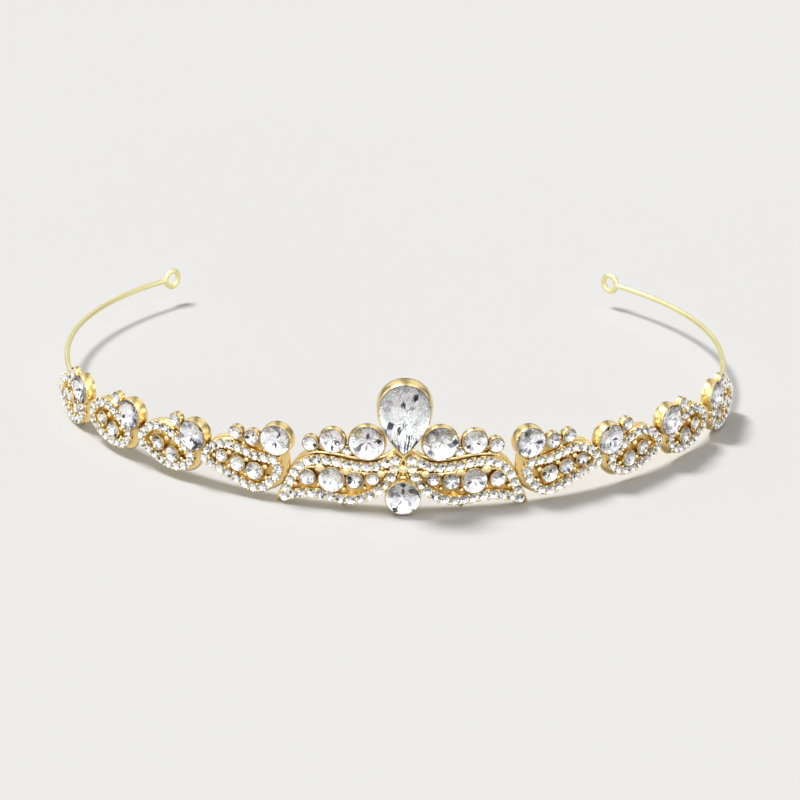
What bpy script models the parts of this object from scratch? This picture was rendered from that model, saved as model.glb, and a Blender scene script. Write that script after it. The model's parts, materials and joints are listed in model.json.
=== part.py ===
"""Bridal tiara: a springy wire band that carries nine gold-plated castings set with cut crystals.

World axes: +X is the wearer's left-to-right width as seen from the front, -Y faces forwards and +Z
is up. The origin is on the table, midway between the front and the back of the whole tiara.

Shapes on the band are laid out flat, as distance along the band (arc), height, and depth in front
of the castings' backs, and are then wrapped round the band's circle.
"""
import math

import bmesh
import bpy
from mathutils import Matrix, Vector
from mathutils.geometry import interpolate_bezier

MM = 0.001

# Band
CASTING_RADIUS = 71.6 * MM        # plan radius of the castings' back faces
REAR_DEPTH = 62.5 * MM            # how far the closing arms reach behind the band's centre line
BAND_CENTRE_Y = 16.43 * MM        # places the origin midway between front and back
WIRE_RADIUS = 0.6 * MM
WIRE_CLEARANCE = 0.3 * MM         # between the wire and the castings' backs
WIRE_PLAN_RADIUS = CASTING_RADIUS - WIRE_RADIUS - WIRE_CLEARANCE
WIRE_HEIGHT = 6.2 * MM
WIRE_STEP = 4.0 * MM              # spacing of the points along a wire
ARM_HINGE_ANGLE = math.radians(77.0)
ARM_END_ANGLE = math.radians(133.0)
ARM_GAP_ANGLE = math.radians(0.3)
EYE_RADIUS = 1.85 * MM            # centre line of the eye at each arm's end
EYE_POINTS = 18

# Castings, as depths in front of their back faces
PLATE_FRONT = 1.8 * MM
PLATE_SLICE = 4.0 * MM            # a plate is creased at this spacing where it wraps the band
RAIL_RADIUS = 0.75 * MM
RAIL_INSET = 1.3 * MM
CUP_WALL = 0.45 * MM
CUP_BACK = 0.2 * MM
CUP_RIM = 0.35 * MM               # how far a cup stands in front of its crystal's widest line
CUP_SIDES = 12
SEAT_GAP = 0.2 * MM               # clearance between a crystal and its cup
SEAT_OPENING = 1.0 * MM           # how far a seat's cutter runs out in front

# Crystals
CRYSTAL_SIDES = 10
GIRDLE_DEPTH = 1.8 * MM           # depth of a crystal's widest line, before its share of the diameter
GIRDLE_SHARE = 0.1
GIRDLE_HALF_HEIGHT = 0.04         # these four are shares of a crystal's radius
TABLE_RADIUS = 0.56
TABLE_HEIGHT = 0.32
POINT_DEPTH = 0.5

# Centre drop and pear
BEZEL_BACK = PLATE_FRONT + 0.3 * MM
PEAR_HEIGHT = 20.9 * MM
PEAR_WIDTH = 10.0 * MM
PEAR_LENGTH = 13.6 * MM
PEAR_BEZEL_FRONT = 5.8 * MM
PEAR_SEAT_FLOOR = 0.7 * MM        # thickness of metal behind the pear stone's seat
PEAR_STONE_BACK = 1.0 * MM        # from the setting's back to the stone's back
PEAR_STONE_RISE = 1.3 * MM        # how far the stone stands in front of its setting
PEAR_FACET = 1.4 * MM
PEAR_TAPER = 0.75                 # how quickly the sides draw in to the point
PEAR_FULLNESS = 1.23              # brings the widest place out to the stated width
DROP_OUTER = 3.8 * MM             # also its height above the table, so its lowest facet rests there
DROP_DIAMETER = 6.2 * MM
DROP_SIDES = 16
DROP_BEZEL_FRONT = 4.4 * MM
DROP_SEAT_FLOOR = 0.5 * MM
DROP_GIRDLE_INSET = 0.1 * MM      # how far the drop stone's widest line lies behind its setting's rim

# Crystals: arc, height and diameter in millimetres, on one side of the tiara
WING_CRYSTALS = {
    "wing_large": (6.9, 14.4, 6.6),
    "wing_medium": (13.5, 14.4, 4.6),
    "wing_small": (17.8, 13.4, 2.7),
    "wing_inner_1": (5.8, 6.8, 2.2),
    "wing_inner_2": (9.2, 6.3, 2.9),
    "wing_inner_3": (13.6, 6.2, 4.7),
    "wing_inner_4": (18.3, 6.2, 2.8),
}

# Half of the centre casting's outline: arc and height in millimetres, from the top of the tongue
# behind the pear, along the wing's upper edge to its tip, and back below to the drop's tongue
WING_OUTLINE = [
    (2.4, 18.0), (1.3, 14.8), (1.9, 12.4), (6.5, 12.4), (11.0, 12.8), (16.5, 13.2), (19.8, 11.3),
    (22.0, 8.6), (23.0, 5.2), (24.0, 0.7), (20.8, 1.8), (16.5, 2.2), (13.2, 1.7), (11.2, 1.1),
    (8.0, 1.7), (4.6, 3.4), (2.0, 2.4),
]

WING_BORDER_START = 2             # the tongue's points come before it

LEAVES = [
    {
        "outline": [(23.9, 12.8), (23.5, 7.6), (24.6, 3.9), (27.2, 1.5), (31.0, 1.8), (35.0, 3.4),
                    (38.6, 4.6), (41.0, 5.4), (39.4, 8.2), (37.2, 11.0), (34.4, 12.3), (30.0, 12.4),
                    (27.0, 13.2)],
        "crystals": {
            "large": (24.6, 13.2, 5.8),
            "medium": (29.5, 12.9, 2.8),
            "small": (33.0, 13.3, 2.4),
            "inner_1": (29.0, 5.9, 3.2),
            "inner_2": (32.6, 6.8, 2.8),
            "inner_3": (36.1, 7.7, 2.2),
        },
    },
    {
        "outline": [(42.0, 10.2), (41.8, 5.4), (43.4, 2.5), (46.4, 1.3), (50.4, 1.7), (54.4, 3.0),
                    (57.4, 4.4), (56.4, 7.0), (54.4, 9.8), (51.6, 11.4), (48.4, 11.6), (45.0, 11.5)],
        "crystals": {
            "large": (42.6, 10.6, 5.8),
            "top": (46.9, 12.8, 2.3),
            "inner_1": (47.8, 5.2, 2.9),
            "inner_2": (51.4, 6.6, 2.6),
        },
    },
    {
        "outline": [(58.7, 10.0), (58.5, 5.2), (60.0, 2.3), (63.0, 1.0), (67.0, 1.1), (71.2, 2.0),
                    (74.2, 3.6), (73.6, 6.5), (71.2, 9.6), (68.2, 11.3), (65.0, 11.4), (61.5, 11.2)],
        "crystals": {
            "large": (59.3, 10.4, 5.7),
            "top": (63.7, 12.4, 2.2),
            "inner_1": (65.0, 5.2, 2.9),
        },
    },
    {
        "outline": [(75.8, 9.2), (75.5, 4.5), (77.0, 1.6), (79.4, 0.0), (84.0, 0.0), (88.6, 0.8),
                    (92.4, 2.8), (92.0, 5.8), (89.2, 8.8), (85.6, 10.4), (82.0, 10.8), (78.6, 10.4)],
        "crystals": {
            "large": (77.7, 9.6, 5.5),
            "top": (82.0, 11.5, 2.1),
        },
    },
]

SIDES = {"right": 1, "left": -1}


# Scene and materials

def clear_scene():
    for item in list(bpy.data.objects):
        bpy.data.objects.remove(item, do_unlink=True)


def new_collection(name):
    group = bpy.data.collections.new(name)
    bpy.context.scene.collection.children.link(group)
    return group


def metal_or_crystal(name, colour, metallic, roughness, transmission=0.0):
    material = bpy.data.materials.new(name)
    material.use_nodes = True
    shader = material.node_tree.nodes["Principled BSDF"]
    shader.inputs["Base Color"].default_value = (*colour, 1.0)
    shader.inputs["Metallic"].default_value = metallic
    shader.inputs["Roughness"].default_value = roughness
    shader.inputs["Transmission Weight"].default_value = transmission
    return material


# Placing things on the band

def band_point(arc, height, depth):
    angle = arc / CASTING_RADIUS
    reach = CASTING_RADIUS + depth
    return Vector((reach * math.sin(angle), BAND_CENTRE_Y - reach * math.cos(angle), height))


def band_frame(arc, height, depth):
    """Local X runs along the band, local Y is up and local Z points outwards."""
    angle = arc / CASTING_RADIUS
    along = Vector((math.cos(angle), math.sin(angle), 0.0))
    upward = Vector((0.0, 0.0, 1.0))
    outward = Vector((math.sin(angle), -math.cos(angle), 0.0))
    turn = Matrix((along, upward, outward)).transposed().to_4x4()
    return Matrix.Translation(band_point(arc, height, depth)) @ turn


def wire_point(angle):
    """A point of the band wire's centre line: a circle in front, closing as an ellipse behind."""
    depth = WIRE_PLAN_RADIUS if math.cos(angle) > 0 else REAR_DEPTH
    return Vector((
        WIRE_PLAN_RADIUS * math.sin(angle),
        BAND_CENTRE_Y - depth * math.cos(angle),
        WIRE_HEIGHT,
    ))


# Making solids

def add_object(name, mesh, group, material=None):
    item = bpy.data.objects.new(name, mesh)
    group.objects.link(item)
    if material:
        mesh.materials.append(material)
    return item


def add_cutter(name, mesh, group):
    item = add_object(name, mesh, group)
    item.hide_render = True
    item.display_type = "WIRE"
    return item


def combine(item, cutter, operation):
    step = item.modifiers.new(cutter.name, "BOOLEAN")
    step.operation = operation
    step.solver = "EXACT"
    step.use_self = operation == "UNION"
    step.object = cutter


def mesh_from_curve(curve, name):
    """A welded mesh of a curve's evaluated shape; the curve itself is thrown away."""
    item = bpy.data.objects.new(name, curve)
    bpy.context.scene.collection.objects.link(item)
    bpy.context.view_layer.update()
    graph = bpy.context.evaluated_depsgraph_get()
    mesh = bpy.data.meshes.new_from_object(item.evaluated_get(graph))
    bpy.data.objects.remove(item, do_unlink=True)
    bpy.data.curves.remove(curve)
    shape = bmesh.new()
    shape.from_mesh(mesh)
    bmesh.ops.remove_doubles(shape, verts=shape.verts, dist=0.01 * MM)
    bmesh.ops.recalc_face_normals(shape, faces=shape.faces)
    shape.to_mesh(mesh)
    shape.free()
    mesh.name = name
    return mesh


def new_poly_curve(name, points, closed, flat):
    curve = bpy.data.curves.new(name, "CURVE")
    curve.dimensions = "2D" if flat else "3D"
    line = curve.splines.new("POLY")
    line.points.add(len(points) - 1)
    for knot, point in zip(line.points, points):
        knot.co = (*Vector(point).to_3d(), 1.0)
    line.use_cyclic_u = closed
    return curve


def smooth_closed(points, steps):
    """Points of a smooth closed line through the given ones, with a number of steps between them."""
    result = []
    count = len(points)
    for index in range(count):
        before, start, end, after = (Vector(points[(index + k - 1) % count]) for k in range(4))
        leave = start + (end - before) / 6.0
        arrive = end - (after - start) / 6.0
        result.extend(interpolate_bezier(start, leave, arrive, end, steps + 1)[:-1])
    return result


def flat_plate(name, outline, back, front):
    """A flat solid from a closed outline, between two depths."""
    curve = new_poly_curve(name, outline, closed=True, flat=True)
    curve.fill_mode = "BOTH"
    curve.extrude = (front - back) / 2.0
    mesh = mesh_from_curve(curve, name)
    mesh.transform(Matrix.Translation((0.0, 0.0, (front + back) / 2.0)))
    return mesh


def wrap_on_band(mesh):
    """Crease a flat plate at regular arcs and lay it round the band."""
    shape = bmesh.new()
    shape.from_mesh(mesh)
    arcs = [vert.co.x for vert in shape.verts]
    first = math.ceil(min(arcs) / PLATE_SLICE)
    last = math.floor(max(arcs) / PLATE_SLICE)
    for index in range(first, last + 1):
        everything = shape.verts[:] + shape.edges[:] + shape.faces[:]
        bmesh.ops.bisect_plane(shape, geom=everything, dist=0.001 * MM,
                               plane_co=(index * PLATE_SLICE, 0.0, 0.0), plane_no=(1.0, 0.0, 0.0))
    for vert in shape.verts:
        vert.co = band_point(*vert.co)
    bmesh.ops.triangulate(shape, faces=shape.faces)
    shape.to_mesh(mesh)
    shape.free()


def round_bar(name, points, radius, closed=False, resolution=2):
    """A round bar or wire along a line of points."""
    curve = new_poly_curve(name, points, closed, flat=False)
    curve.bevel_depth = radius
    curve.bevel_resolution = resolution
    curve.use_fill_caps = True
    return mesh_from_curve(curve, name)


def cylinders_mesh(name, rods):
    """One mesh of several rods, each given as arc, height, radius, back depth and front depth."""
    shape = bmesh.new()
    for arc, height, radius, back, front in rods:
        middle = band_frame(arc, height, (back + front) / 2.0)
        bmesh.ops.create_cone(shape, cap_ends=True, segments=CUP_SIDES, radius1=radius,
                              radius2=radius, depth=front - back, matrix=middle)
    mesh = bpy.data.meshes.new(name)
    shape.to_mesh(mesh)
    shape.free()
    return mesh


# Crystals

def girdle_depth(diameter):
    """Larger crystals stand further forward: the depth of a crystal's widest line."""
    return GIRDLE_DEPTH + GIRDLE_SHARE * diameter


def crystal_profile(diameter):
    """Half section of a round crystal about its girdle, from its table down to its point."""
    radius = diameter / 2.0
    return [
        (0.0, TABLE_HEIGHT * radius),
        (TABLE_RADIUS * radius, TABLE_HEIGHT * radius),
        (radius, GIRDLE_HALF_HEIGHT * radius),
        (radius, -GIRDLE_HALF_HEIGHT * radius),
        (0.0, -POINT_DEPTH * radius),
    ]


def add_crystal(name, arc, height, diameter, depth, group, material):
    profile = crystal_profile(diameter)
    mesh = bpy.data.meshes.new(name)
    points = [(radius, 0.0, level) for radius, level in profile]
    mesh.from_pydata(points, [(k, k + 1) for k in range(len(points) - 1)], [])
    item = add_object(name, mesh, group, material)
    turn = item.modifiers.new("turned", "SCREW")
    turn.steps = CRYSTAL_SIDES
    turn.render_steps = CRYSTAL_SIDES
    turn.use_merge_vertices = True
    turn.merge_threshold = 0.01 * MM
    turn.use_smooth_shade = False
    item.matrix_world = band_frame(arc, height, depth)


# Castings

def cup_rods(crystals, side):
    """Cup bodies and the seats cut in them, for a set of crystals on one side."""
    cups = []
    seats = []
    for arc, height, diameter in crystals:
        radius = diameter * MM / 2.0
        girdle = girdle_depth(diameter * MM)
        spot = (side * arc * MM, height * MM)
        cups.append((*spot, radius + SEAT_GAP + CUP_WALL, CUP_BACK, girdle + CUP_RIM))
        seat_floor = girdle - POINT_DEPTH * radius - SEAT_GAP
        seats.append((*spot, radius + SEAT_GAP, seat_floor, girdle + SEAT_OPENING))
    return cups, seats


def border_line(outline):
    """A smooth closed line on a plate's front face, set in from the plate's edge."""
    line = [Vector(point) * MM for point in outline]
    middle = sum(line, Vector((0.0, 0.0))) / len(line)
    inner = [point + (middle - point).normalized() * RAIL_INSET for point in line]
    return [band_point(point.x, point.y, PLATE_FRONT) for point in smooth_closed(inner, 2)]


def add_casting(name, outline, cups, seats, borders, groups, material):
    """A bent plate with a raised border and a cup for every crystal, as one solid."""
    parts, cutters = groups
    smooth = [Vector((point.x, max(point.y, 0.0))) * MM for point in smooth_closed(outline, 2)]
    plate = flat_plate(name, smooth, 0.0, PLATE_FRONT)
    wrap_on_band(plate)
    item = add_object(name, plate, parts, material)
    for index, border in enumerate(borders):
        rail = round_bar(f"{name}_border_{index}", border_line(border), RAIL_RADIUS, closed=True,
                         resolution=1)
        combine(item, add_cutter(rail.name, rail, cutters), "UNION")
    cup_mesh = cylinders_mesh(f"{name}_cups", cups)
    combine(item, add_cutter(cup_mesh.name, cup_mesh, cutters), "UNION")
    seat_mesh = cylinders_mesh(f"{name}_seats", seats)
    combine(item, add_cutter(seat_mesh.name, seat_mesh, cutters), "DIFFERENCE")


def mirrored(points, side):
    return [(side * arc, height) for arc, height in points]


def add_centre_casting(groups, material):
    left_half = [(-arc, height) for arc, height in reversed(WING_OUTLINE)]
    outline = WING_OUTLINE + left_half
    cups = []
    seats = []
    for side in SIDES.values():
        more_cups, more_seats = cup_rods(WING_CRYSTALS.values(), side)
        cups += more_cups
        seats += more_seats
    wing_border = WING_OUTLINE[WING_BORDER_START:-1]
    borders = [mirrored(wing_border, side) for side in SIDES.values()]
    add_casting("centre_casting", outline, cups, seats, borders, groups, material)


def add_leaf_casting(name, leaf, side, groups, material):
    cups, seats = cup_rods(leaf["crystals"].values(), side)
    outline = mirrored(leaf["outline"], side)
    add_casting(name, outline, cups, seats, [outline], groups, material)


# Pear and drop

def pear_outline(width, length, steps=18):
    """A rounded top and a point below, about the middle of its length."""
    points = []
    half_width = width / 2.0 * PEAR_FULLNESS
    for index in range(steps):
        turn = 2.0 * math.pi * index / steps
        narrowing = math.sin(turn / 2.0) ** PEAR_TAPER
        points.append((half_width * math.sin(turn) * narrowing, -length / 2.0 * math.cos(turn)))
    return points


def add_pear(groups, gold, crystal):
    parts, cutters = groups
    place = band_frame(0.0, PEAR_HEIGHT, 0.0)
    outer = 2.0 * (SEAT_GAP + CUP_WALL)
    body = flat_plate("pear_bezel", pear_outline(PEAR_WIDTH + outer, PEAR_LENGTH + outer),
                      BEZEL_BACK, PEAR_BEZEL_FRONT)
    bezel = add_object("pear_bezel", body, parts, gold)
    bezel.matrix_world = place
    opening = 2.0 * SEAT_GAP
    seat = flat_plate("pear_bezel_seat", pear_outline(PEAR_WIDTH + opening, PEAR_LENGTH + opening),
                      BEZEL_BACK + PEAR_SEAT_FLOOR, PEAR_BEZEL_FRONT + SEAT_OPENING)
    cutter = add_cutter("pear_bezel_seat", seat, cutters)
    cutter.matrix_world = place
    combine(bezel, cutter, "DIFFERENCE")
    stone = flat_plate("pear_crystal", pear_outline(PEAR_WIDTH, PEAR_LENGTH),
                       BEZEL_BACK + PEAR_STONE_BACK, PEAR_BEZEL_FRONT + PEAR_STONE_RISE)
    item = add_object("pear_crystal", stone, parts, crystal)
    item.matrix_world = place
    facet = item.modifiers.new("facets", "BEVEL")
    facet.width = PEAR_FACET
    facet.segments = 1
    facet.limit_method = "ANGLE"
    facet.angle_limit = math.radians(60.0)


def add_drop(groups, gold, crystal):
    parts, cutters = groups
    half_side = math.pi / DROP_SIDES
    corner_radius = DROP_OUTER / math.cos(half_side)
    shape = bmesh.new()
    bmesh.ops.create_cone(shape, cap_ends=True, segments=DROP_SIDES, radius1=corner_radius,
                          radius2=corner_radius, depth=DROP_BEZEL_FRONT - BEZEL_BACK,
                          matrix=Matrix.Rotation(half_side, 4, "Z"))
    body = bpy.data.meshes.new("drop_bezel")
    shape.to_mesh(body)
    shape.free()
    bezel = add_object("drop_bezel", body, parts, gold)
    bezel.matrix_world = band_frame(0.0, DROP_OUTER, (BEZEL_BACK + DROP_BEZEL_FRONT) / 2.0)
    opening = (0.0, DROP_OUTER, DROP_DIAMETER / 2.0 + SEAT_GAP, BEZEL_BACK + DROP_SEAT_FLOOR,
               DROP_BEZEL_FRONT + SEAT_OPENING)
    seat = cylinders_mesh("drop_bezel_seat", [opening])
    combine(bezel, add_cutter("drop_bezel_seat", seat, cutters), "DIFFERENCE")
    add_crystal("drop_crystal", 0.0, DROP_OUTER, DROP_DIAMETER, DROP_BEZEL_FRONT - DROP_GIRDLE_INSET,
                parts, crystal)


# Wires

def wire_points(first_angle, last_angle):
    steps = max(2, round(abs(last_angle - first_angle) * WIRE_PLAN_RADIUS / WIRE_STEP))
    return [wire_point(first_angle + (last_angle - first_angle) * k / steps) for k in range(steps + 1)]


def add_band_wire(parts, material):
    end = ARM_HINGE_ANGLE - ARM_GAP_ANGLE
    mesh = round_bar("band_wire", wire_points(-end, end), WIRE_RADIUS)
    add_object("band_wire", mesh, parts, material)


def add_arm_wire(side_name, side, groups, material):
    """A sprung arm with an upright eye at its end; its origin is on its flexing line."""
    parts, cutters = groups
    points = wire_points(side * ARM_HINGE_ANGLE, side * ARM_END_ANGLE)
    name = f"arm_wire_{side_name}"
    item = add_object(name, round_bar(name, points, WIRE_RADIUS), parts, material)
    along = (points[-1] - points[-2]).normalized()
    across = Vector((0.0, 0.0, 1.0)).cross(along)
    place = Matrix((along, Vector((0.0, 0.0, 1.0)), -across)).transposed().to_4x4()
    place.translation = points[-1] + along * EYE_RADIUS
    turns = [2.0 * math.pi * k / EYE_POINTS for k in range(EYE_POINTS)]
    ring = [(EYE_RADIUS * math.cos(turn), EYE_RADIUS * math.sin(turn), 0.0) for turn in turns]
    eye = round_bar(f"{name}_eye", ring, WIRE_RADIUS, closed=True)
    eye.transform(place)
    combine(item, add_cutter(eye.name, eye, cutters), "UNION")
    pivot = wire_point(side * ARM_HINGE_ANGLE)
    item.data.transform(Matrix.Translation(-pivot))
    item.location = pivot


def build():
    clear_scene()
    groups = (new_collection("bridal_tiara"), new_collection("cutters"))
    parts = groups[0]
    gold = metal_or_crystal("gold_plate", (0.90, 0.62, 0.18), 1.0, 0.22)
    pale_gold = metal_or_crystal("pale_gold_wire", (0.92, 0.80, 0.42), 1.0, 0.38)
    crystal = metal_or_crystal("clear_crystal", (0.94, 0.95, 0.98), 0.0, 0.02, 0.8)
    add_centre_casting(groups, gold)
    add_pear(groups, gold, crystal)
    add_drop(groups, gold, crystal)
    add_band_wire(parts, pale_gold)
    for side_name, side in SIDES.items():
        add_arm_wire(side_name, side, groups, pale_gold)
        for label, (arc, height, diameter) in WING_CRYSTALS.items():
            add_crystal(f"{label}_crystal_{side_name}", side * arc * MM, height * MM, diameter * MM,
                        girdle_depth(diameter * MM), parts, crystal)
        for number, leaf in enumerate(LEAVES, start=1):
            add_leaf_casting(f"leaf_casting_{side_name}_{number}", leaf, side, groups, gold)
            for label, (arc, height, diameter) in leaf["crystals"].items():
                add_crystal(f"leaf_{number}_{label}_crystal_{side_name}", side * arc * MM,
                            height * MM, diameter * MM, girdle_depth(diameter * MM), parts, crystal)


build()
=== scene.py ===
"""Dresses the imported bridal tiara: soft gold castings, cut and foiled crystals, beads and satin wire.

Lengths below are in millimetres, and mm() and MM turn them into metres. Only the camera's distance and
near limit and the floor's radius are given in metres.
Shapes on the band are given as arc along the castings' backs, height, and depth in front of them.
"""
import json
import math
import random

import bmesh
import bpy
from mathutils import Matrix, Vector
from mathutils.geometry import interpolate_bezier


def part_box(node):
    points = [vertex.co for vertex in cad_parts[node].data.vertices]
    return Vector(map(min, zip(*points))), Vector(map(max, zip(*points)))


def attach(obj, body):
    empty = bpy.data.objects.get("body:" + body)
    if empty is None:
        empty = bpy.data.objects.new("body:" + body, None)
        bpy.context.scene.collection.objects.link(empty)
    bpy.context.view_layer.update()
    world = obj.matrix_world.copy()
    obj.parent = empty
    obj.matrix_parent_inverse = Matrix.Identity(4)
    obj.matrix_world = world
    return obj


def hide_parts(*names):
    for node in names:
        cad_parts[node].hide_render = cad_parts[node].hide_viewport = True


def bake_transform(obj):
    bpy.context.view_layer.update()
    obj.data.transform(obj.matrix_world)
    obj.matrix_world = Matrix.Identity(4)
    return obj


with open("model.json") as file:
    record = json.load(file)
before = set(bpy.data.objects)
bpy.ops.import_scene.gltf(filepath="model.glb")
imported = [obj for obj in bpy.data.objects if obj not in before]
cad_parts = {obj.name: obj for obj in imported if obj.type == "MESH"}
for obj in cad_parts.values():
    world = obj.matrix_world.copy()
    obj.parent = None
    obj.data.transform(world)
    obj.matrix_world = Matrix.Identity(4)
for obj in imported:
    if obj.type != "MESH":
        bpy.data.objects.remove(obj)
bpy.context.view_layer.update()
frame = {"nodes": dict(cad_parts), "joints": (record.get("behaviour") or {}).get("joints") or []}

MM = 0.001

# Band, taken from the frame
WIRE_RADIUS = 0.6
CASTING_CLEARANCE = 0.3                     # from the band wire to the castings' backs
WIRE_LOW, WIRE_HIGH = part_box("band_wire")
WIRE_HEIGHT = (WIRE_LOW.z + WIRE_HIGH.z) / 2.0 / MM
HINGES = {joint["child"]: Vector(joint["pos_m"]) / MM for joint in frame["joints"]}
HINGE_ANGLE = math.radians(77.0)
WIRE_PLAN_RADIUS = HINGES["arm_right"].x / math.sin(HINGE_ANGLE)
CASTING_RADIUS = WIRE_PLAN_RADIUS + WIRE_RADIUS + CASTING_CLEARANCE
BAND_CENTRE_Y = HINGES["arm_right"].y + WIRE_PLAN_RADIUS * math.cos(HINGE_ANGLE)
REAR_DEPTH = 62.5                           # how far the closing arms reach behind the centre line
ARM_END_ANGLE = math.radians(133.0)
EYE_RADIUS = 1.85

# Castings
BORDER_REACH = 1.02                         # from a row's middle line to either edge of its border
BORDER_FRONT = 1.55                         # depth of the border the small stones are set in
FLOOR_FRONT = 1.05                          # depth of the sunken floor inside a border
PAVE_PITCH = 1.94
PAVE_DIAMETER = 1.82
PAVE_DEPTH = 2.04
FLANK_REACH = 1.2                           # the smooth rounded flank down a leaf casting's inner edge
FLANK_HEIGHT = 0.8
FLANK_LIFTS = (0.0, 0.3, 0.8, 1.2)          # how far a flank's points rise above the plate's own
BACK_DEPTH = 0.36                           # of a stone's foiled back, as a share of its half width
STONE_OVERLAP = 0.27                        # how far a stone's edge laps over its seat
CAD_STONE_SIDES = 10                        # of a round CAD stone, which has flats at its top and bottom
CUP_RISE = 0.1                              # from a stone's widest line to just above its cup's rim
CLAW_RADIUS = 0.3
CLAW_REACH = 0.5                            # from the border's front to a claw bead's middle
CLAW_SPREAD = 0.72                          # from a row's middle line to a claw bead
LINE_RADIUS = 0.26
LARGE_STONE = 4.3
WING_END = 22.0                             # cups nearer the centre than this stand on the centre casting
CUP_BACKS = {"wing": 0.9, "leaf": 0.02, "small": 0.6}
SIDES = {"right": 1, "left": -1}

# One side of the centre casting's plate: arc and height, from its tongue out to the tip and back
WING_PLATE = [
    (2.2, 17.6), (1.5, 15.0), (1.5, 12.6), (4.0, 11.6), (8.0, 11.9), (12.0, 12.0), (16.5, 12.4), (19.6, 10.8),
    (21.8, 8.0), (23.2, 4.8), (24.2, 2.3), (24.9, 0.15), (23.2, 0.35), (21.0, 1.2), (16.6, 1.8), (13.0, 1.4),
    (11.4, 0.3), (10.6, 0.9), (8.6, 1.2), (5.6, 2.7), (3.4, 4.0), (1.8, 3.2),
]

# The leaf castings' plates: arc and height
LEAF_PLATES = [
    [(23.6, 12.4), (23.2, 7.4), (24.4, 3.8), (27.3, 1.4), (31.2, 1.8), (35.0, 3.1), (38.6, 4.3), (41.3, 5.6),
     (39.8, 8.6), (37.6, 11.3), (34.4, 12.3), (30.0, 12.6), (27.0, 13.0)],
    [(42.0, 10.2), (42.1, 5.4), (43.9, 2.8), (46.9, 1.7), (50.9, 2.3), (54.6, 3.4), (57.6, 5.0), (56.6, 7.6),
     (54.2, 10.2), (51.6, 11.6), (48.4, 11.8), (45.0, 11.5)],
    [(58.7, 10.0), (58.8, 5.4), (60.4, 2.7), (63.4, 1.7), (67.2, 1.8), (71.4, 2.7), (74.6, 4.4), (73.6, 7.0),
     (71.2, 9.9), (68.2, 11.4), (65.0, 11.5), (61.5, 11.2)],
    [(75.9, 9.2), (76.0, 5.1), (77.6, 2.4), (80.4, 1.0), (84.2, 0.2), (88.8, 1.4), (93.2, 3.9), (92.4, 6.4),
     (89.2, 9.2), (85.6, 10.6), (82.0, 11.0), (78.6, 10.4)],
]

# Rows of small stones: closed lines as arc and height
WING_ROW = [
    (1.6, 10.8), (5.4, 9.35), (9.5, 9.3), (13.4, 9.95), (17.3, 9.95), (20.2, 7.9), (21.9, 4.6),
    (22.9, 1.5), (20.6, 2.4), (16.7, 2.95), (13.0, 2.4), (9.3, 2.15), (5.7, 3.6), (3.1, 5.9), (1.9, 8.4),
]
LEAF_ROWS = [
    [(25.0, 8.8), (28.4, 9.0), (31.6, 9.9), (34.8, 10.5), (37.8, 9.6), (40.1, 6.6), (37.2, 5.2),
     (34.0, 4.0), (31.0, 2.8), (27.9, 2.4), (25.3, 4.6), (24.1, 6.9)],
    [(43.2, 6.4), (46.0, 8.4), (48.8, 10.0), (51.6, 10.3), (54.4, 9.0), (56.5, 6.0), (54.0, 4.5),
     (51.2, 3.4), (48.2, 2.8), (45.4, 3.2), (43.4, 4.8)],
    [(60.0, 6.2), (62.4, 8.0), (65.2, 9.6), (68.2, 10.0), (71.2, 8.8), (73.4, 5.7), (71.4, 4.0),
     (68.4, 3.0), (65.2, 2.7), (62.2, 3.0), (60.2, 4.7)],
    [(77.4, 5.8), (79.6, 7.5), (82.4, 9.1), (85.8, 9.3), (88.9, 7.9), (91.9, 5.0), (89.6, 3.3),
     (86.4, 1.9), (82.8, 1.5), (79.6, 2.2), (77.7, 4.1)],
]

# Thin gold lines: arc and height of the points they run through, from end to end
CENTRE_LINES = [
    [(5.6, 11.1), (3.6, 11.7), (2.0, 12.9), (0.9, 12.4), (0.0, 11.3)],
    [(0.0, 11.3), (0.5, 10.2), (0.0, 8.9)],
    [(0.0, 8.9), (2.9, 8.4), (3.6, 8.6)],
    [(0.0, 8.9), (0.9, 7.3), (0.6, 6.2)],
]
WING_LINES = [
    [(2.6, 8.5), (4.2, 7.9), (7.4, 7.9), (10.8, 8.2), (15.9, 8.5), (18.8, 7.9), (20.4, 5.2)],
    [(6.2, 11.0), (9.4, 11.1), (12.8, 11.6), (16.6, 11.6), (18.8, 10.9)],
]

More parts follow.
